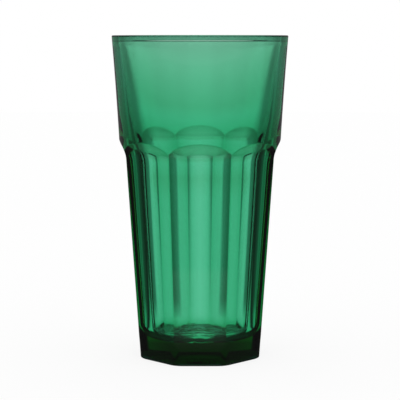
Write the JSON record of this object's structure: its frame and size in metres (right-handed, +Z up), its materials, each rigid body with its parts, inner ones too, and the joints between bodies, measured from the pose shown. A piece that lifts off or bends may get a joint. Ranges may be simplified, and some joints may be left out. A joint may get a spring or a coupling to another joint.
{
  "type": "iced tea glass",
  "caption": "Tall pressed tumbler of green glass with a plain flared drinking band over flat panels, a round tapered cavity and a heavy foot.",
  "frame": {"origin": "centre of the octagon that the foot stands on, on the table plane", "axes": "+Z up along the glass's axis towards the rim; -Y is the normal side of one flat panel, the one that faces the viewer"},
  "size_m": [0.0872, 0.0872, 0.16],
  "materials": {
    "green_glass": "clear green glass, fire-polished to a gloss, colour deepening with thickness"
  },
  "bodies": {
    "root": {"tumbler": "green_glass"}
  },
  "joints": []
}
